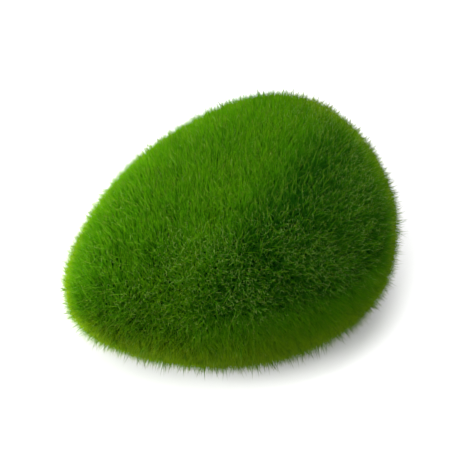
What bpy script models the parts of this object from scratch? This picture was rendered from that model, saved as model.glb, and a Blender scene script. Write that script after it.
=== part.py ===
"""Marimo moss ball: one closed, pebble-shaped ball of moss.

The ball grew as one piece, so it is one solid. Its surface is the form that the tips of the moss
filaments reach, all but the few longest. In plan it is an egg with three blunt corners, and seen from the side it is a
flattened pebble with full shoulders. Metres, +Z up: the length runs along X with the blunt end
at +X, and the ball rests on a small flat spot at z = 0, under its middle.
"""

import math

import bpy
from mathutils import Vector, noise

# Driving dimensions, in metres.
LENGTH = 0.092  # along X, from the narrow end to the blunt end
WIDTH = 0.072  # along Y, over the two broad flanks
HEIGHT = 0.045  # from the flat spot to the crown
PRESS_DEPTH = 0.0008  # how far the ball's own weight has flattened its underside

# The form, as shares of the ball's half sizes.
SHOULDER_POWER = 2.3  # of the superellipse in each upright section: 2 is an ellipse, more is fuller
CORNER_COUNT = 3  # blunt corners round the plan
CORNER_REACH = 0.052  # how far a corner stands out of the plan's ellipse
CORNER_TURN = math.radians(28)  # from the blunt end round to the nearest corner
BLUNT_END = 0.22  # how much wider the plan is at the blunt end than at its middle
UNEVENNESS = 0.035  # of the slow swells and hollows that keep the form from being exact
SWELL_COUNT = 1.2  # swells across one half of the ball
SWELL_PLACE = Vector((57, 0, 0))  # the stretch of the noise pattern that the swells are taken from

# The surface: facets about 2.5 mm long, which keep within 0.1 mm of the round form.
SPHERE_SUBDIVISIONS = 5

# Moss, as it looks from a step away.
MOSS_GREEN = (0.036, 0.112, 0.003, 1.0)  # linear RGB
MOSS_ROUGHNESS = 0.95


def remove_all_objects():
    """Start from an empty scene."""
    for obj in list(bpy.data.objects):
        bpy.data.objects.remove(obj, do_unlink=True)


def make_moss_material():
    """A matt, deep green for the whole ball."""
    material = bpy.data.materials.new("moss")
    material.use_nodes = True
    shader = material.node_tree.nodes["Principled BSDF"]
    shader.inputs["Base Color"].default_value = MOSS_GREEN
    shader.inputs["Roughness"].default_value = MOSS_ROUGHNESS
    shader.inputs["Metallic"].default_value = 0.0
    return material


def pebble_point(direction):
    """Move a point of the unit sphere onto the pebble, before it takes its real sizes."""
    across = math.hypot(direction.x, direction.y)
    turn = math.atan2(direction.y, direction.x)
    section = across**SHOULDER_POWER + abs(direction.z) ** SHOULDER_POWER
    fullness = section ** (-1 / SHOULDER_POWER)
    swell = 1 + UNEVENNESS * noise.noise(direction * SWELL_COUNT + SWELL_PLACE)
    corner = 1 + CORNER_REACH * math.cos(CORNER_COUNT * (turn - CORNER_TURN))
    reach = across * fullness * swell * corner
    along = reach * math.cos(turn)
    side = reach * math.sin(turn) * (1 + BLUNT_END * along)
    up = direction.z * fullness * swell
    return Vector((along, side, up))


def fit_to_sizes(points):
    """Scale the pebble to its driving sizes, standing at z = 0, with its underside pressed flat."""
    lowest = [min(point[axis] for point in points) for axis in range(3)]
    highest = [max(point[axis] for point in points) for axis in range(3)]
    unpressed = (LENGTH, WIDTH, HEIGHT + PRESS_DEPTH)
    for point in points:
        for axis in range(3):
            share = (point[axis] - lowest[axis]) / (highest[axis] - lowest[axis])
            point[axis] = share * unpressed[axis]
        point.x -= LENGTH / 2
        point.y -= WIDTH / 2
        point.z = max(point.z - PRESS_DEPTH, 0.0)


def make_moss_ball(collection):
    """The whole ball: a sphere of even facets, each of its points moved onto the pebble."""
    bpy.ops.mesh.primitive_ico_sphere_add(subdivisions=SPHERE_SUBDIVISIONS, radius=1.0)
    ball = bpy.context.object
    ball.name = "moss_ball"
    ball.data.name = "moss_ball"
    points = [pebble_point(vertex.co) for vertex in ball.data.vertices]
    fit_to_sizes(points)
    for vertex, point in zip(ball.data.vertices, points):
        vertex.co = point
    ball.data.shade_smooth()
    ball.data.materials.append(make_moss_material())
    for old in list(ball.users_collection):
        old.objects.unlink(ball)
    collection.objects.link(ball)


def main():
    remove_all_objects()
    collection = bpy.data.collections.new("marimo_moss_ball")
    bpy.context.scene.collection.children.link(collection)
    make_moss_ball(collection)


main()
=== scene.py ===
"""Marimo moss ball: the looks.

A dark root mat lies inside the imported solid, and layers of green filaments grow from it until
their tips reach the solid's surface. One Geometry Nodes tree grows every layer, and each is then
kept as a plain mesh.
"""

import math
from typing import NamedTuple

import bmesh
import bpy
from bpy.props import FloatProperty, FloatVectorProperty, IntProperty, PointerProperty
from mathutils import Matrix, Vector


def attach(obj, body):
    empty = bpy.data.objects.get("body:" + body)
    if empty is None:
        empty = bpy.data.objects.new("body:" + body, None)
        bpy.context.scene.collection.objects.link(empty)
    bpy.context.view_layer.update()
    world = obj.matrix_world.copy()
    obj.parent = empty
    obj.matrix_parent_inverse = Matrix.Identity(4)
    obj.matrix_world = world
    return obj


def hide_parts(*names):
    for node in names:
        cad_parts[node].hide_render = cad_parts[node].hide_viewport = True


bl_info = {
    "name": "Marimo moss ball",
    "version": (1, 0, 0),
    "blender": (4, 5, 0),
    "location": "3D View > Sidebar > Marimo",
    "description": "Grows the nap of a marimo moss ball on its packed solid and sets up its stage",
    "category": "Object",
}

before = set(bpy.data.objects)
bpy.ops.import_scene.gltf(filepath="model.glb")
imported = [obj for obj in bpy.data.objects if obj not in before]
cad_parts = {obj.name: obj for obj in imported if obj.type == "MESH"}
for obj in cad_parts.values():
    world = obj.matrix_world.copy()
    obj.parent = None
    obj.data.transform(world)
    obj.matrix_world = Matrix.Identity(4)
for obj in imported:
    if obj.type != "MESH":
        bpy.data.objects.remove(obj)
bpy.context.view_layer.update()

BALL = "moss_ball"
BODY = "root"
ROOT_MAT = "root_mat"
# Strands whose pale tips are painted highlights.
STRANDS = "bleached_strands"
FILAMENT_UV = "OFBake"  # u is a filament's own tint, v runs from its root (0) to its tip (1)

# The kinds and settings of the nodes that come up most.
MATH = "ShaderNodeMath"
VECTOR = "ShaderNodeVectorMath"
MAP_RANGE = "ShaderNodeMapRange"
MIX = "ShaderNodeMix"
RANDOM = "FunctionNodeRandomValue"
ADD = {"operation": "ADD"}
SUBTRACT = {"operation": "SUBTRACT"}
MULTIPLY = {"operation": "MULTIPLY"}
DIVIDE = {"operation": "DIVIDE"}
POWER = {"operation": "POWER"}
SMALLER = {"operation": "MINIMUM"}
LARGER = {"operation": "MAXIMUM"}
TIMES_PLUS = {"operation": "MULTIPLY_ADD"}  # the first times the second, plus the third
DOT = {"operation": "DOT_PRODUCT"}
SMOOTH = {"interpolation_type": "SMOOTHSTEP"}
NUMBER = {"data_type": "FLOAT"}
COLOUR = {"data_type": "RGBA"}


def srgb(hex_code):
    """Turn an sRGB colour such as '3f7a0e' into linear RGB."""
    channels = [int(hex_code[i : i + 2], 16) / 255 for i in (0, 2, 4)]
    return tuple(c / 12.92 if c <= 0.04045 else ((c + 0.055) / 1.055) ** 2.4 for c in channels)


def add(tree, kind, settings=None, **inputs):
    """Add one node. Settings are its properties. Inputs are its sockets' values or links, by name
    or as _number; where a link is to a whole node, it is to that node's first output."""
    node = tree.nodes.new(kind)
    for name, value in (settings or {}).items():
        setattr(node, name, value)
    for key, value in inputs.items():
        numbered = key[1:].isdigit()
        socket = node.inputs[int(key[1:]) if numbered else key.replace("_", " ")]
        if isinstance(value, bpy.types.Node):
            value = value.outputs[0]
        if isinstance(value, bpy.types.NodeSocket):
            tree.links.new(value, socket)
        else:
            socket.default_value = value
    return node


def place_object(name, data):
    """A new object at the origin, in the scene."""
    thing = bpy.data.objects.new(name, data)
    bpy.context.scene.collection.objects.link(thing)
    return thing


def colour_property(name, hex_code, description):
    return FloatVectorProperty(
        name=name,
        description=description,
        default=srgb(hex_code),
        size=3,
        min=0,
        max=1,
        subtype="COLOR",
    )


class MarimoNap(bpy.types.PropertyGroup):
    """Sizes of the filaments, in real units."""

    depth: FloatProperty(
        name="Nap depth",
        description="From the root mat out to the even nap that most tips make",
        default=0.0028,
        min=0.0005,
        unit="LENGTH",
    )
    loose: FloatProperty(
        name="Loose tips",
        description="From the even nap out to where the longer tips reach, except under the ball",
        default=0.001,
        min=0,
        unit="LENGTH",
    )
    longest: FloatProperty(
        name="Longest",
        description="How much taller than its layer's usual height a filament can be",
        default=1.28,
        min=1,
    )
    width: FloatProperty(
        name="Filament width",
        description="Diameter of a filament near its root",
        default=0.00013,
        min=0.00002,
        unit="LENGTH",
    )
    spread: FloatProperty(
        name="Spread",
        description="How far single filaments lean away from their neighbours, as a slope",
        default=0.6,
        min=0,
    )
    tuft_size: FloatProperty(
        name="Tuft size",
        description="Distance between the small tufts that filaments gather into",
        default=0.0009,
        min=0.0002,
        unit="LENGTH",
    )
    gather: FloatProperty(
        name="Gather",
        description="How far tips are drawn to the middle of their tuft where the nap stands open",
        default=0.42,
        min=0,
        max=1,
    )
    swirl_size: FloatProperty(
        name="Swirl size",
        description="Distance over which neighbouring tufts lean the same way",
        default=0.006,
        min=0.001,
        unit="LENGTH",
    )
    swirl: FloatProperty(
        name="Swirl",
        description="How far whole stretches of the nap lean as one, as a slope",
        default=0.4,
        min=0,
    )
    stand: FloatVectorProperty(
        name="Stand up",
        description="How far the whole nap leans along X, Y and Z, as a slope",
        default=(0.02, -0.02, 0.45),
        size=3,
    )
    narrow_lean: FloatVectorProperty(
        name="Narrow end's lean",
        description="How much further the nap of the narrow end leans, towards the crown",
        default=(0.4, 0.05, 0.3),
        size=3,
    )
    near_lean: FloatVectorProperty(
        name="Near side's lean",
        description="How much further the nap leans on the near side of its parting, outwards",
        default=(-0.02, -0.42, -0.42),
        size=3,
    )
    smooth_side: FloatProperty(
        name="Smooth side",
        description="Share of the spread and of the differences in tint left off the open band",
        default=0.16,
        min=0,
        max=1,
    )
    seed: IntProperty(name="Seed", description="Start of every random choice", default=7)


class MarimoColours(bpy.types.PropertyGroup):
    """Colours of the moss."""

    # Painted shade: the near side's painted shade turns filaments to these dark colours, which the
    # random differences in tint also reach at times.
    dark: colour_property("Dark green", "083e02", "The darkest filaments half way up")
    dark_tip: colour_property("Dark tip", "1e6004", "The tips of the darkest filaments")
    green: colour_property("Green", "387400", "Most filaments half way up")
    green_tip: colour_property("Green tip", "4e9a00", "The tips of most filaments")
    # Partly painted glow: this olive is partly the filaments' own colour and partly the yellow
    # light that comes through them at the ball's edges and up from the floor.
    olive: colour_property("Olive", "5c8800", "The filaments low on the flanks, half way up")
    olive_tip: colour_property("Olive tip", "9ab416", "The tips of the filaments low on the flanks")
    dry: colour_property("Dry", "3c7006", "The longest filaments half way up")
    dry_tip: colour_property("Dry tip", "747c2c", "The tips of the longest filaments")
    glow: colour_property("Glow", "a8b016", "Light that has come through a filament")
    # Painted highlight: these pale tips stand in for glints of light on the filament tips and the
    # sheen at the ball's edges.
    pale: colour_property("Pale strand", "a4bc60", "The tips of the old, bleached strands")
    # Painted shade: the mat's dark green is made near-black for the shade deep in the nap.
    mat: colour_property("Root mat", "031200", "The felted mat under the filaments")


class MarimoStage(bpy.types.PropertyGroup):
    """The camera."""

    azimuth: FloatProperty(
        name="Azimuth",
        description="Camera's turn round the ball; 0 looks along +Y",
        default=math.radians(-39.6),
        subtype="ANGLE",
    )
    elevation: FloatProperty(
        name="Elevation",
        description="Camera's height above the horizon",
        default=math.radians(46.5),
        subtype="ANGLE",
    )
    distance: FloatProperty(
        name="Distance",
        description="From the camera to what it aims at",
        default=0.44,
        unit="LENGTH",
    )
    lens: FloatProperty(name="Lens", description="Focal length in millimetres", default=144)
    aim: FloatVectorProperty(
        name="Aim",
        description="The point that the camera aims at",
        default=(-0.0004, 0.0029, 0.0238),
        subtype="TRANSLATION",
        unit="LENGTH",
    )


# --- Materials -------------------------------------------------------------------------------

# A filament's tint picks its colours: dark green, green, olive and dry.
TINT_STOPS = (0.15, 0.5, 0.85, 0.98)
# Heights along a filament, from 0 at its root to 1 at its tip.
ROOT_SHADE = {"From_Min": 0.1, "From_Max": 0.6, "To_Min": 0.6, "To_Max": 1.0}
TIP_HEIGHTS = {"From_Min": 0.6, "From_Max": 0.95}
# Where a strand's tip turns pale, as a painted highlight.
GLINT_HEIGHTS = {"From_Min": 0.62, "From_Max": 0.92}
LIGHT_THROUGH = 0.28  # share of the light that a live filament lets through
YELLOWED = 0.4  # how far that light turns yellow
BLACK = (0, 0, 0, 1)
WHITE = (1, 1, 1, 1)
CELL_IOR = 1.4  # wet plant cells
FELT_SCALE = 2500.0  # per metre: the felt's threads lie about 0.4 mm apart
FELT_CONTRAST = {"From_Min": 0.3, "From_Max": 0.7}
FELT_HOLLOW_SHADE = 0.5  # painted shade: brightness between its threads
FELT_THREAD = 1.6  # and on them


def start_material(name):
    """A new material, and its node tree without any node."""
    material = bpy.data.materials.new(name)
    material.use_nodes = True
    material.node_tree.nodes.clear()
    return material, material.node_tree


def make_filament_material(colours):
    """Moss filament: thin green cell threads, matt with a faint wet sheen, and half see-through, so
    that they glow yellower where light comes from behind and go dark deep in the nap, where painted
    shade also darkens their colour towards the root."""
    material, tree = start_material("moss_filament")
    uv = add(tree, "ShaderNodeUVMap", {"uv_map": FILAMENT_UV})
    place = add(tree, "ShaderNodeSeparateXYZ", Vector=uv)
    tint, height = place.outputs["X"], place.outputs["Y"]
    stem = add(tree, "ShaderNodeValToRGB", Fac=tint)
    tip = add(tree, "ShaderNodeValToRGB", Fac=tint)
    stems = (colours.dark, colours.green, colours.olive, colours.dry)
    tips = (colours.dark_tip, colours.green_tip, colours.olive_tip, colours.dry_tip)
    for ramp, stops in ((stem, stems), (tip, tips)):
        elements = ramp.color_ramp.elements
        for position in TINT_STOPS[1:-1]:
            elements.new(position)
        for element, position, colour in zip(elements, TINT_STOPS, stops):
            element.position = position
            element.color = (*colour, 1)
    # Painted shade: a filament's colour darkens towards its root, for the shade deep in the nap.
    low = add(tree, MAP_RANGE, Value=height, **ROOT_SHADE)
    high = add(tree, MAP_RANGE, Value=height, **TIP_HEIGHTS)
    lower = add(tree, MIX, COLOUR, _0=low, _6=BLACK, _7=stem)
    upper = add(tree, MIX, COLOUR, _0=high, _6=lower.outputs[2], _7=tip)
    through = add(tree, MIX, COLOUR, _0=YELLOWED, _6=upper.outputs[2], _7=(*colours.glow, 1))
    surface = add(
        tree,
        "ShaderNodeBsdfPrincipled",
        Base_Color=upper.outputs[2],
        Roughness=0.5,
        IOR=CELL_IOR,
        Specular_IOR_Level=0.03,
    )
    glow = add(tree, "ShaderNodeBsdfTranslucent", Color=through.outputs[2])
    both = add(tree, "ShaderNodeMixShader", _0=LIGHT_THROUGH, _1=surface, _2=glow)
    add(tree, "ShaderNodeOutputMaterial", Surface=both)
    return material


def make_strand_material(colours):
    """Glint strand: a green filament whose pale tip is a painted highlight, for the glints of light
    on the filament tips and the sheen at the ball's edges. It is matt and lets no light through."""
    material, tree = start_material("moss_bleached_strand")
    uv = add(tree, "ShaderNodeUVMap", {"uv_map": FILAMENT_UV})
    height = add(tree, "ShaderNodeSeparateXYZ", Vector=uv).outputs["Y"]
    glinting = add(tree, MAP_RANGE, Value=height, **GLINT_HEIGHTS)
    live, glint_colour = (*colours.green, 1), (*colours.pale, 1)
    colour = add(tree, MIX, COLOUR, _0=glinting, _6=live, _7=glint_colour)
    surface = add(
        tree,
        "ShaderNodeBsdfPrincipled",
        Base_Color=colour.outputs[2],
        Roughness=0.7,
        IOR=CELL_IOR,
        Specular_IOR_Level=0.05,
    )
    add(tree, "ShaderNodeOutputMaterial", Surface=surface)
    return material


def make_mat_material(colours):
    """Root mat: felted old filaments, matt, seen only as the depth between the tips. Its near-black
    colour is painted shade, made darker still between the felt's threads.
    """
    material, tree = start_material("moss_root_felt")
    place = add(tree, "ShaderNodeTexCoord").outputs["Object"]
    felt = add(tree, "ShaderNodeTexNoise", Vector=place, Scale=FELT_SCALE, Detail=3.0)
    share = add(tree, MAP_RANGE, Value=felt, **FELT_CONTRAST)
    # Painted shade between the felt's threads, where its bump is low.
    hollow_shade = (*[FELT_HOLLOW_SHADE * c for c in colours.mat], 1)
    thread = (*[FELT_THREAD * c for c in colours.mat], 1)
    colour = add(tree, MIX, COLOUR, _0=share, _6=hollow_shade, _7=thread)
    bump = add(tree, "ShaderNodeBump", Strength=0.6, Distance=0.0002, Height=felt)
    surface = add(
        tree,
        "ShaderNodeBsdfPrincipled",
        Base_Color=colour.outputs[2],
        Roughness=0.95,
        IOR=CELL_IOR,
        Specular_IOR_Level=0.05,
        Normal=bump,
    )
    add(tree, "ShaderNodeOutputMaterial", Surface=surface)
    return material


# --- Root mat --------------------------------------------------------------------------------

SAME_POINT = 1e-6  # corners of loose triangles this close are joined, in metres
PRESSED_BAND = 0.6  # tips are pressed where the normal's Z is less than this above straight down


def merged_copy(node_name, new_name):
    """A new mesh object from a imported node, its loose triangles joined into one skin."""
    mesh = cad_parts[node_name].data.copy()
    mesh.name = new_name
    mesh.materials.clear()
    shape = bmesh.new()
    shape.from_mesh(mesh)
    bmesh.ops.remove_doubles(shape, verts=shape.verts, dist=SAME_POINT)
    shape.to_mesh(mesh)
    shape.free()
    return place_object(new_name, mesh)


class MARIMO_OT_root_mat(bpy.types.Operator):
    """Make the felted mat that the filaments grow from, inside the ball"""

    bl_idname = "marimo.root_mat"
    bl_label = "Root mat"

    def execute(self, context):
        nap = context.scene.marimo_nap
        mat = merged_copy(BALL, ROOT_MAT)
        inward = []
        for vertex in mat.data.vertices:
            # The ball's weight presses the loose tips flat under it.
            unpressed = min(max((vertex.normal.z + 1) / PRESSED_BAND, 0), 1)
            inward.append(vertex.co - vertex.normal * (nap.depth + nap.loose * unpressed))
        for vertex, place in zip(mat.data.vertices, inward):
            vertex.co = place
        mat.data.shade_smooth()
        mat.data.materials.append(make_mat_material(context.scene.marimo_colours))
        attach(mat, BODY)
        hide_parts(BALL)
        return {"FINISHED"}


# --- Filaments -------------------------------------------------------------------------------


class Layer(NamedTuple):
    """One layer of the nap."""

    name: str
    count: int  # filaments, if they stood all over the ball
    segments: int  # along each filament
    length: float  # its usual height, as a share of the nap depth
    width: float  # near the root, as a share of the filament width
    bend: float  # how far the tip bends over, in metres
    olive: float  # what is added to its tint
    open_only: float  # share of them that grows only where the nap stands open
    brushed: float  # how far they follow the way the nap is brushed


LAYERS = (
    Layer("undergrowth", 64000, 1, 0.85, 1.2, 0.00035, 0.0, 0.0, 1.0),
    Layer("fine_a", 64000, 1, 1.02, 1.0, 0.00035, 0.0, 0.0, 1.0),
    Layer("fine_b", 64000, 1, 1.06, 1.0, 0.00035, 0.0, 0.0, 1.0),
    Layer("fine_c", 64000, 1, 1.10, 1.0, 0.00035, 0.0, 0.0, 0.7),
    Layer("whiskers", 16000, 1, 1.5, 2.3, 0.0004, 0.98, 0.0, 0.0),
    Layer(STRANDS, 36000, 3, 1.02, 0.9, 0.0014, 0.0, 0.92, 1.0),
)

INPUTS = (
    ("Density", "NodeSocketFloat"),
    ("Segments", "NodeSocketInt"),
    ("Length", "NodeSocketFloat"),
    ("Longest", "NodeSocketFloat"),
    ("Width", "NodeSocketFloat"),
    ("Bend", "NodeSocketFloat"),
    ("Olive", "NodeSocketFloat"),
    ("Open Only", "NodeSocketFloat"),
    ("Brushed", "NodeSocketFloat"),
    ("Spread", "NodeSocketFloat"),
    ("Tuft Size", "NodeSocketFloat"),
    ("Gather", "NodeSocketFloat"),
    ("Swirl Size", "NodeSocketFloat"),
    ("Swirl", "NodeSocketFloat"),
    ("Stand", "NodeSocketVector"),
    ("Narrow Lean", "NodeSocketVector"),
    ("Near Lean", "NodeSocketVector"),
    ("Smooth Side", "NodeSocketFloat"),
    ("Seed", "NodeSocketInt"),
    ("Material", "NodeSocketMaterial"),
)

# Where the nap changes over the ball. Facing is the Z of the surface's normal, from -1 under the
# ball to 1 on its crown. Places are in metres from the middle of the ball.
ABOVE_FLANK = {"From_Min": 0.25, "From_Max": 0.55}  # facing
BELOW_CROWN = {"From_Min": 0.9, "From_Max": 1.0, "To_Min": 1.0, "To_Max": 0.0}  # facing
ABOVE_UNDERSIDE = {"From_Min": -0.95, "From_Max": -0.25}  # facing
NEAR_WAY = (0.35, -0.94, 0)  # towards the near side, and a little to the blunt end
PAINTED_SHADE_SIDE = {"From_Min": 0.001, "From_Max": 0.015}  # place along the near way, where the shade is painted
OPEN_SIDE = {"From_Min": -0.015, "From_Max": 0.008}  # place along the near way
NARROW_DROP = {"From_Min": 0.0, "From_Max": -0.035, "To_Min": 0.0, "To_Max": 0.2}  # X
NARROW_END = {"From_Min": -0.017, "From_Max": -0.044, "To_Min": 0.0, "To_Max": 1.0}  # X
PARTING_WAY = (0.2, -0.98, 0)  # straight out from the parting, towards the near side
BEYOND_PARTING = {"From_Min": 0.007, "From_Max": 0.022}  # place along the parting way

# The strands with painted glints come in patches about 11 mm across.
PATCH_SCALE = 90.0
PATCH_DENSITY = {"From_Min": 0.4, "From_Max": 0.6, "To_Min": 0.3, "To_Max": 1.4}

# How tall a filament is, as a share of its layer's usual height. Few stand out, because the
# random number that decides it is raised to a power first.
FEWNESS = 4.0
OWN_LEAST = 0.6
OWN_EXTRA = 0.84
TUFT_LEAST = 0.94
TUFT_EXTRA = 0.3
LEAST_RISE = 0.75  # one that leans further than this isn't made any longer for it

# What each filament's place, height, tuft and own chance give its tint.
# The olive of the flanks, far side and blunt end is partly the filaments' own colour and partly
# painted glow of light through them at the ball's edges and from the floor.
FLANK_GLOW_TO_CROWN = {"From_Min": -0.42, "From_Max": 0.3, "To_Min": 0.9, "To_Max": 0.41}  # facing
FAR_SIDE_GLOW_RISE = 0.65  # how much higher up the flank's olive, partly painted glow, reaches on the far side
# Painted shade: what the near side takes off a filament's tint.
PAINTED_SHADE_TINT = -0.42
BLUNT_END_GLOW = {"From_Min": 0.4, "From_Max": 0.85, "To_Min": 0.0, "To_Max": 0.8}  # normal's X; lifts the painted shade and adds olive, partly painted glow
MOST_SIDE_TINT = 0.82
MOTTLE_SCALE = 140.0  # patches about 7 mm across
MOTTLE_TINT = {"From_Min": 0.25, "From_Max": 0.75, "To_Min": -0.06, "To_Max": 0.06}
LONG_TINT = 0.22
TUFT_TINT = {"To_Min": -0.1, "To_Max": 0.1}
OWN_TINT = 0.24
LIVE_TINTS = {"Min": 0.01, "Max": 0.88}
MOST_TINT = 0.99

# Added to a layer's seed for each further random choice.
SPIN_SEED = 100
LENGTH_SEED = 200
TINT_SEED = 300

FLOOR_GAP = 0.00005  # the lowest that a tip may lie, in metres


class Zones(NamedTuple):
    """Sockets that say where on the ball a filament stands."""

    normal: bpy.types.bpy_prop_collection  # the X, Y and Z of the surface's normal
    along: bpy.types.NodeSocket  # place along the ball's length
    painted_shade: bpy.types.Node  # how much painted shade its tint takes, on the near side
    opened: bpy.types.Node  # how open the nap stands
    rough: bpy.types.Node  # how uneven the nap is


def make_thread(tree, given, place):
    """One filament, a unit long: three-sided, pointed and bent over, its root open in the mat."""
    radius = add(tree, MATH, MULTIPLY, _0=given["Width"], _1=0.5)
    thread = add(
        tree,
        "GeometryNodeMeshCone",
        {"fill_type": "NONE"},
        Vertices=3,
        Side_Segments=given["Segments"],
        Radius_Top=0.0,
        Radius_Bottom=radius,
        Depth=1.0,
    )
    height = add(tree, "ShaderNodeSeparateXYZ", Vector=place).outputs["Z"]
    squared = add(tree, MATH, MULTIPLY, _0=height, _1=height)
    bend = add(tree, MATH, MULTIPLY, _0=squared, _1=given["Bend"])
    shift = add(tree, "ShaderNodeCombineXYZ", X=bend)
    # Half way up it is as thick as at its root, so that only its upper half tapers.
    thin = add(tree, MATH, SUBTRACT, _0=height, _1=squared)
    thicker = add(tree, MATH, MULTIPLY, _0=thin, _1=4.0)
    across = add(tree, "ShaderNodeCombineXYZ", X=thicker, Y=thicker)
    filled = add(tree, VECTOR, TIMES_PLUS, _0=place, _1=across, _2=shift)
    bent = add(tree, "GeometryNodeSetPosition", Geometry=thread, Offset=filled)
    return add(
        tree,
        "GeometryNodeStoreNamedAttribute",
        {**NUMBER, "domain": "POINT"},
        Geometry=bent,
        Name="along",
        Value=height,
    )


def find_zones(tree, given, place, upright):
    """The near and blunt side has painted shade in its tint, and it stands open between the crown
    and the flank, lower down towards the narrow end. The rest is combed smooth."""
    normal = add(tree, "ShaderNodeSeparateXYZ", Vector=upright).outputs
    above_flank = add(tree, MAP_RANGE, SMOOTH, Value=normal["Z"], **ABOVE_FLANK)
    below_crown = add(tree, MAP_RANGE, SMOOTH, Value=normal["Z"], **BELOW_CROWN)
    nearness = add(tree, VECTOR, DOT, _0=place, _1=NEAR_WAY).outputs["Value"]
    # Painted shade falls on the near side, above the flank.
    dark = add(tree, MAP_RANGE, SMOOTH, Value=nearness, **PAINTED_SHADE_SIDE)
    near = add(tree, MAP_RANGE, SMOOTH, Value=nearness, **OPEN_SIDE)
    painted_shade = add(tree, MATH, MULTIPLY, _0=above_flank, _1=dark)
    along = add(tree, "ShaderNodeSeparateXYZ", Vector=place).outputs["X"]
    drop = add(tree, MAP_RANGE, Value=along, **NARROW_DROP)
    dropped = add(tree, MATH, ADD, _0=normal["Z"], _1=drop)
    open_flank = add(tree, MAP_RANGE, SMOOTH, Value=dropped, **ABOVE_FLANK)
    shoulder = add(tree, MATH, MULTIPLY, _0=open_flank, _1=below_crown)
    opened = add(tree, MATH, MULTIPLY, _0=shoulder, _1=near)
    rough = add(tree, MAP_RANGE, Value=opened, To_Min=given["Smooth Side"], To_Max=1.0)
    return Zones(normal, along, painted_shade, opened, rough)


def scatter_roots(tree, given, place, skin, zones):
    """Roots all over the skin. Those that grow only where the nap stands open come in patches."""
    here = add(tree, MIX, NUMBER, _0=given["Open Only"], _2=1.0, _3=zones.opened)
    patches = add(tree, "ShaderNodeTexNoise", Vector=place, Scale=PATCH_SCALE, Detail=1.0)
    patch = add(tree, MAP_RANGE, Value=patches, **PATCH_DENSITY)
    patched = add(tree, MIX, NUMBER, _0=given["Open Only"], _2=1.0, _3=patch)
    share = add(tree, MATH, MULTIPLY, _0=patched, _1=here)
    density = add(tree, MATH, MULTIPLY, _0=given["Density"], _1=share)
    return add(
        tree,
        "GeometryNodeDistributePointsOnFaces",
        Mesh=skin,
        Density=density,
        Seed=given["Seed"],
    )


def comb_nap(tree, given, place, upright, zones):
    """The way the nap is brushed: it stands up, leans towards the crown at the narrow end, and
    outwards beyond a parting along the near side. It isn't brushed underneath."""
    narrow = add(tree, MAP_RANGE, SMOOTH, Value=zones.along, **NARROW_END)
    beside = add(tree, VECTOR, DOT, _0=place, _1=PARTING_WAY).outputs["Value"]
    parted = add(tree, MAP_RANGE, SMOOTH, Value=beside, **BEYOND_PARTING)
    whole = add(tree, VECTOR, TIMES_PLUS, _0=given["Narrow Lean"], _1=narrow, _2=given["Stand"])
    lean = add(tree, VECTOR, TIMES_PLUS, _0=given["Near Lean"], _1=parted, _2=whole)
    brushed = add(
        tree,
        MAP_RANGE,
        SMOOTH,
        Value=zones.normal["Z"],
        **ABOVE_UNDERSIDE,
        To_Max=given["Brushed"],
    )
    leaning = add(tree, VECTOR, TIMES_PLUS, _0=lean, _1=brushed, _2=upright)
    return add(tree, VECTOR, {"operation": "NORMALIZE"}, _0=leaning)


def turn_filaments(tree, given, place, upright, zones, tuft, combed):
    """Point each filament the way it is combed, with a slow swirl, towards the middle of its tuft
    and a little its own way, and spin it so that they bend over to all sides."""
    swirls = add(tree, MATH, DIVIDE, _0=1.0, _1=given["Swirl Size"])
    swirl = add(tree, "ShaderNodeTexNoise", Vector=place, Scale=swirls, Detail=1.0)
    middle_grey = (0.5, 0.5, 0.5)
    swirl_way = add(tree, VECTOR, SUBTRACT, _0=swirl.outputs["Color"], _1=middle_grey)
    twice = add(tree, MATH, MULTIPLY, _0=given["Swirl"], _1=2.0)
    swirled = add(tree, VECTOR, TIMES_PLUS, _0=swirl_way, _1=twice, _2=combed)
    to_middle = add(tree, VECTOR, SUBTRACT, _0=tuft.outputs["Position"], _1=place)
    rise = add(tree, VECTOR, {"operation": "PROJECT"}, _0=to_middle, _1=upright)
    level = add(tree, VECTOR, SUBTRACT, _0=to_middle, _1=rise)
    gather = add(tree, MATH, MULTIPLY, _0=given["Gather"], _1=zones.rough)
    pull = add(tree, MATH, DIVIDE, _0=gather, _1=given["Length"])
    gathered = add(tree, VECTOR, TIMES_PLUS, _0=level, _1=pull, _2=swirled)
    any_way = {"data_type": "FLOAT_VECTOR"}
    own = add(tree, RANDOM, any_way, _0=(-1, -1, -1), _1=(1, 1, 1), Seed=given["Seed"])
    unbrushed = add(tree, MATH, SUBTRACT, _0=1.0, _1=given["Brushed"])
    free = add(tree, MATH, LARGER, _0=zones.rough, _1=unbrushed)
    spread = add(tree, MATH, MULTIPLY, _0=given["Spread"], _1=free)
    outward = add(tree, VECTOR, TIMES_PLUS, _0=own, _1=spread, _2=gathered)
    spin_seed = add(tree, MATH, ADD, _0=given["Seed"], _1=SPIN_SEED)
    spin = add(tree, RANDOM, NUMBER, _2=0.0, _3=math.tau, Seed=spin_seed)
    spin_xyz = add(tree, "ShaderNodeCombineXYZ", Z=spin.outputs[1])
    spun = add(tree, "FunctionNodeEulerToRotation", Euler=spin_xyz)
    to_z = {"axis": "Z"}
    return add(tree, "FunctionNodeAlignRotationToVector", to_z, Rotation=spun, Vector=outward)


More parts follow.
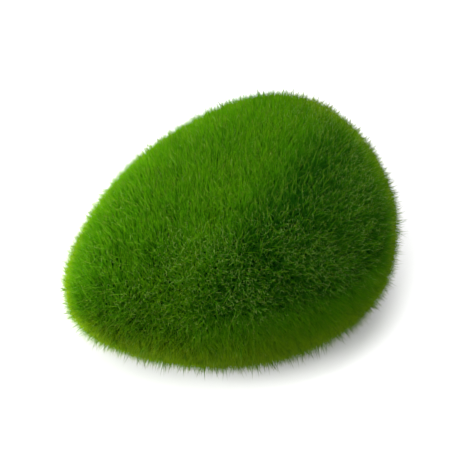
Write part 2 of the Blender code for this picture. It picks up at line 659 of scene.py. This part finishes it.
def size_filaments(tree, given, upright, combed, few, tuft_own):
    """How long each one is: most are short, a few are longer, and a few whole tufts stand out.
    The more they lean, the longer they are, so that their tips still make one surface."""
    own_reach = add(tree, MATH, TIMES_PLUS, _0=few, _1=OWN_EXTRA, _2=OWN_LEAST)
    few_tufts = add(tree, MATH, POWER, _0=tuft_own["Red"], _1=FEWNESS)
    tuft_reach = add(tree, MATH, TIMES_PLUS, _0=few_tufts, _1=TUFT_EXTRA, _2=TUFT_LEAST)
    reach = add(tree, MATH, MULTIPLY, _0=own_reach, _1=tuft_reach)
    capped = add(tree, MATH, SMALLER, _0=reach, _1=given["Longest"])
    height = add(tree, MATH, MULTIPLY, _0=capped, _1=given["Length"])
    rising = add(tree, VECTOR, DOT, _0=combed, _1=upright).outputs["Value"]
    steep = add(tree, MATH, LARGER, _0=rising, _1=LEAST_RISE)
    length = add(tree, MATH, DIVIDE, _0=height, _1=steep)
    return add(tree, "ShaderNodeCombineXYZ", X=1.0, Y=1.0, Z=length)


def tint_filaments(tree, given, place, zones, few, tuft_own):
    """Each filament's tint, from dark green through green and olive to dry: darker on the near side
    as painted shade, olive low on the flanks, higher up on the far one and on the blunt end, partly
    its own colour and partly painted glow, olive too where it is long, with a mottle, its tuft's
    tint and its own."""
    far = add(tree, MAP_RANGE, Value=zones.normal["Y"], To_Max=FAR_SIDE_GLOW_RISE)
    steepness = add(tree, MATH, SUBTRACT, _0=zones.normal["Z"], _1=far)
    flank = add(tree, MAP_RANGE, SMOOTH, Value=steepness, **FLANK_GLOW_TO_CROWN)
    # Painted shade takes tint off the near side; the blunt end adds olive back below.
    darker = add(tree, MATH, TIMES_PLUS, _0=zones.painted_shade, _1=PAINTED_SHADE_TINT, _2=flank)
    blunt_end_glow = add(tree, MAP_RANGE, SMOOTH, Value=zones.normal["X"], **BLUNT_END_GLOW)
    olive_end = add(tree, MATH, ADD, _0=darker, _1=blunt_end_glow)
    side_tint = add(tree, MATH, SMALLER, _0=olive_end, _1=MOST_SIDE_TINT)
    mottle = add(tree, "ShaderNodeTexNoise", Vector=place, Scale=MOTTLE_SCALE, Detail=2.0)
    mottle_tint = add(tree, MAP_RANGE, Value=mottle, **MOTTLE_TINT)
    long_tint = add(tree, MATH, TIMES_PLUS, _0=few, _1=LONG_TINT, _2=mottle_tint)
    wide_tint = add(tree, MATH, ADD, _0=side_tint, _1=long_tint)
    own_seed = add(tree, MATH, ADD, _0=given["Seed"], _1=TINT_SEED)
    own_tint = add(tree, RANDOM, NUMBER, _2=-OWN_TINT, _3=OWN_TINT, Seed=own_seed)
    tuft_tint = add(tree, MAP_RANGE, Value=tuft_own["Green"], **TUFT_TINT)
    single_tint = add(tree, MATH, ADD, _0=own_tint.outputs[1], _1=tuft_tint)
    tint = add(tree, MATH, TIMES_PLUS, _0=single_tint, _1=zones.rough, _2=wide_tint)
    live_tint = add(tree, "ShaderNodeClamp", Value=tint, **LIVE_TINTS)
    olive_tint = add(tree, MATH, ADD, _0=live_tint, _1=given["Olive"])
    return add(tree, MATH, SMALLER, _0=olive_tint, _1=MOST_TINT)


def finish_filaments(tree, given, place, standing):
    """Make the filaments one mesh. Tips that would pass below the surface that the ball rests on
    lie flat on it. Tint and height go into the UV map, which the materials read."""
    joined = add(tree, "GeometryNodeRealizeInstances", Geometry=standing)
    point = add(tree, "ShaderNodeSeparateXYZ", Vector=place).outputs
    not_below = add(tree, MATH, LARGER, _0=point["Z"], _1=FLOOR_GAP)
    pressed_place = add(tree, "ShaderNodeCombineXYZ", X=point["X"], Y=point["Y"], Z=not_below)
    pressed = add(tree, "GeometryNodeSetPosition", Geometry=joined, Position=pressed_place)
    kept_tint = add(tree, "GeometryNodeInputNamedAttribute", NUMBER, Name="tint")
    root_to_tip = add(tree, "GeometryNodeInputNamedAttribute", NUMBER, Name="along")
    uv = add(tree, "ShaderNodeCombineXYZ", X=kept_tint, Y=root_to_tip)
    mapped = add(
        tree,
        "GeometryNodeStoreNamedAttribute",
        {"data_type": "FLOAT2", "domain": "CORNER"},
        Geometry=pressed,
        Name=FILAMENT_UV,
        Value=uv,
    )
    smooth = add(tree, "GeometryNodeSetShadeSmooth", Geometry=mapped)
    return add(tree, "GeometryNodeSetMaterial", Geometry=smooth, Material=given["Material"])


def make_filament_tree():
    """Geometry Nodes: stand bent, pointed filaments all over a surface and join them."""
    tree = bpy.data.node_groups.new("Grow filaments", "GeometryNodeTree")
    tree.interface.new_socket("Geometry", in_out="INPUT", socket_type="NodeSocketGeometry")
    for name, kind in INPUTS:
        tree.interface.new_socket(name, in_out="INPUT", socket_type=kind)
    tree.interface.new_socket("Geometry", in_out="OUTPUT", socket_type="NodeSocketGeometry")
    given = add(tree, "NodeGroupInput").outputs
    place = add(tree, "GeometryNodeInputPosition").outputs["Position"]

    # The surface's smooth normal, carried to each filament's root.
    normal = add(tree, "GeometryNodeInputNormal")
    skin = add(tree, "GeometryNodeCaptureAttribute", {"domain": "POINT"})
    skin.capture_items.new("VECTOR", "Normal")
    tree.links.new(given["Geometry"], skin.inputs["Geometry"])
    tree.links.new(normal.outputs["Normal"], skin.inputs["Normal"])
    upright = skin.outputs["Normal"]

    zones = find_zones(tree, given, place, upright)
    tufts = add(tree, MATH, DIVIDE, _0=1.0, _1=given["Tuft Size"])
    tuft = add(tree, "ShaderNodeTexVoronoi", Vector=place, Scale=tufts)
    tuft_own = add(tree, "FunctionNodeSeparateColor", Color=tuft.outputs["Color"]).outputs
    combed = comb_nap(tree, given, place, upright, zones)
    few_seed = add(tree, MATH, ADD, _0=given["Seed"], _1=LENGTH_SEED)
    chance = add(tree, RANDOM, NUMBER, Seed=few_seed)
    few = add(tree, MATH, POWER, _0=chance.outputs[1], _1=FEWNESS)
    standing = add(
        tree,
        "GeometryNodeInstanceOnPoints",
        Points=scatter_roots(tree, given, place, skin, zones),
        Instance=make_thread(tree, given, place),
        Rotation=turn_filaments(tree, given, place, upright, zones, tuft, combed),
        Scale=size_filaments(tree, given, upright, combed, few, tuft_own),
    )
    tinted = add(
        tree,
        "GeometryNodeStoreNamedAttribute",
        {**NUMBER, "domain": "INSTANCE"},
        Geometry=standing,
        Name="tint",
        Value=tint_filaments(tree, given, place, zones, few, tuft_own),
    )
    add(tree, "NodeGroupOutput", Geometry=finish_filaments(tree, given, place, tinted))
    return tree


def surface_area(mesh):
    return sum(face.area for face in mesh.polygons)


def grow(tree, name, mat, values):
    """Run the tree on the root mat with these input values and keep the result as a plain mesh."""
    sprout = place_object(name, mat.data.copy())
    modifier = sprout.modifiers.new("Grow filaments", "NODES")
    modifier.node_group = tree
    for item in tree.interface.items_tree:
        if item.in_out == "INPUT" and item.name in values:
            modifier[item.identifier] = values[item.name]
    depsgraph = bpy.context.evaluated_depsgraph_get()
    mesh = bpy.data.meshes.new_from_object(
        sprout.evaluated_get(depsgraph), preserve_all_data_layers=True, depsgraph=depsgraph
    )
    sprout.modifiers.remove(modifier)
    sprout.data = mesh
    mesh.name = name
    # The thread that the tree starts from brings an empty slot, so only the tree's material stays.
    mesh.materials.clear()
    mesh.materials.append(values["Material"])
    return sprout


class MARIMO_OT_filaments(bpy.types.Operator):
    """Grow the layers of filaments from the root mat out to the ball's surface"""

    bl_idname = "marimo.filaments"
    bl_label = "Filaments"

    def execute(self, context):
        nap = context.scene.marimo_nap
        mat = bpy.data.objects[ROOT_MAT]
        area = surface_area(mat.data)
        tree = make_filament_tree()
        live = make_filament_material(context.scene.marimo_colours)
        glinting = make_strand_material(context.scene.marimo_colours)
        for number, layer in enumerate(LAYERS):
            values = {
                "Density": layer.count / area,
                "Segments": layer.segments,
                "Length": nap.depth * layer.length,
                "Longest": nap.longest,
                "Width": nap.width * layer.width,
                "Bend": layer.bend,
                "Olive": layer.olive,
                "Open Only": layer.open_only,
                "Brushed": layer.brushed,
                "Spread": nap.spread,
                "Tuft Size": nap.tuft_size,
                "Gather": nap.gather,
                "Swirl Size": nap.swirl_size,
                "Swirl": nap.swirl,
                "Stand": nap.stand,
                "Narrow Lean": nap.narrow_lean,
                "Near Lean": nap.near_lean,
                "Smooth Side": nap.smooth_side,
                "Seed": nap.seed + number,
                "Material": glinting if layer.name == STRANDS else live,
            }
            piece = grow(tree, layer.name, mat, values)
            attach(piece, BODY)
        return {"FINISHED"}


# --- Stage -----------------------------------------------------------------------------------


class SoftBox(NamedTuple):
    """A light: a rectangle that faces the ball."""

    name: str
    round_to: float  # degrees round from the camera's right
    rise_to: float  # degrees up
    width: float  # metres
    height: float
    power: float  # watts


# A bright wall low on the left, soft boxes high up, and a weak one behind on the right.
SOFT_BOXES = (
    SoftBox("left_wall", 189, 11, 0.9, 0.3, 39.0),
    SoftBox("left_high", 180, 60, 0.6, 0.6, 3.4),
    SoftBox("front_left", 240, 48, 0.6, 0.6, 8.0),
    SoftBox("front_right_high", 303, 60, 0.6, 0.6, 4.8),
    SoftBox("far_right", 25, 28, 0.6, 0.6, 2.8),
    SoftBox("overhead", 90, 90, 0.6, 0.6, 10.4),
)
LIGHT_DISTANCE = 1.2  # metres from the ball
LIT_POINT = (0, 0, 0.02)  # about the middle of the ball
WORLD_STRENGTH = 0.08  # faint, even light from all round
FLOOR_SIZE = 6.0  # metres
SENSOR_WIDTH = 36  # millimetres
NEAREST_SEEN = 0.01  # metres from the camera
FURTHEST_SEEN = 20


def aim_at(thing, place):
    thing.rotation_mode = "QUATERNION"
    thing.rotation_quaternion = (place - thing.location).to_track_quat("-Z", "Y")


def lay_floor():
    """Matt white paper: plain and pale, with no gloss."""
    bpy.ops.mesh.primitive_plane_add(size=FLOOR_SIZE)
    floor = bpy.context.object
    floor.name = "floor"
    paper = bpy.data.materials.new("matt_white_paper")
    paper.use_nodes = True
    shader = paper.node_tree.nodes["Principled BSDF"]
    shader.inputs["Base Color"].default_value = (*srgb("efefef"), 1)
    shader.inputs["Roughness"].default_value = 0.9
    floor.data.materials.append(paper)


def set_camera(scene, settings):
    """The camera at the photograph's viewing angle."""
    turn, rise = settings.azimuth, settings.elevation
    back = Vector(
        (math.sin(turn) * math.cos(rise), -math.cos(turn) * math.cos(rise), math.sin(rise))
    )
    camera = place_object("camera", bpy.data.cameras.new("camera"))
    aim = Vector(settings.aim)
    camera.location = aim + back * settings.distance
    camera.data.lens = settings.lens
    camera.data.sensor_width = SENSOR_WIDTH
    camera.data.clip_start = NEAREST_SEEN
    camera.data.clip_end = FURTHEST_SEEN
    aim_at(camera, aim)
    scene.camera = camera


def set_light(box, right, away):
    """One soft box. Right and away are the level ways that the camera has to its right and
    ahead of it."""
    round_to, rise_to = math.radians(box.round_to), math.radians(box.rise_to)
    direction = (right * math.cos(round_to) + away * math.sin(round_to)) * math.cos(rise_to)
    direction.z = math.sin(rise_to)
    lamp = bpy.data.lights.new(box.name, "AREA")
    lamp.shape = "RECTANGLE"
    lamp.size = box.width
    lamp.size_y = box.height
    lamp.energy = box.power
    light = place_object(box.name, lamp)
    light.location = direction * LIGHT_DISTANCE
    light.visible_camera = False
    aim_at(light, Vector(LIT_POINT))


def set_world(scene):
    world = bpy.data.worlds.new("studio")
    scene.world = world
    world.use_nodes = True
    background = world.node_tree.nodes["Background"]
    background.inputs["Color"].default_value = WHITE
    background.inputs["Strength"].default_value = WORLD_STRENGTH


class MARIMO_OT_stage(bpy.types.Operator):
    """Lay the pale floor and set the camera and the soft studio light"""

    bl_idname = "marimo.stage"
    bl_label = "Stage"

    def execute(self, context):
        settings = context.scene.marimo_stage
        lay_floor()
        set_camera(context.scene, settings)
        turn = settings.azimuth
        right = Vector((math.cos(turn), math.sin(turn), 0))
        away = Vector((-math.sin(turn), math.cos(turn), 0))
        for box in SOFT_BOXES:
            set_light(box, right, away)
        set_world(context.scene)
        context.scene.view_settings.view_transform = "Standard"
        return {"FINISHED"}


class MARIMO_PT_panel(bpy.types.Panel):
    """The moss ball's settings and steps"""

    bl_label = "Marimo moss ball"
    bl_idname = "MARIMO_PT_panel"
    bl_space_type = "VIEW_3D"
    bl_region_type = "UI"
    bl_category = "Marimo"

    def draw(self, context):
        scene = context.scene
        for group in (scene.marimo_nap, scene.marimo_colours, scene.marimo_stage):
            box = self.layout.box()
            for name in group.__annotations__:
                box.prop(group, name)
        for step in (MARIMO_OT_root_mat, MARIMO_OT_filaments, MARIMO_OT_stage):
            self.layout.operator(step.bl_idname)


CLASSES = (
    MarimoNap,
    MarimoColours,
    MarimoStage,
    MARIMO_OT_root_mat,
    MARIMO_OT_filaments,
    MARIMO_OT_stage,
    MARIMO_PT_panel,
)


def register():
    for each in CLASSES:
        bpy.utils.register_class(each)
    bpy.types.Scene.marimo_nap = PointerProperty(type=MarimoNap)
    bpy.types.Scene.marimo_colours = PointerProperty(type=MarimoColours)
    bpy.types.Scene.marimo_stage = PointerProperty(type=MarimoStage)


def unregister():
    del bpy.types.Scene.marimo_nap
    del bpy.types.Scene.marimo_colours
    del bpy.types.Scene.marimo_stage
    for each in reversed(CLASSES):
        bpy.utils.unregister_class(each)


def main():
    register()
    bpy.ops.marimo.root_mat()
    bpy.ops.marimo.filaments()
    bpy.ops.marimo.stage()


if __name__ == "__main__":
    main()
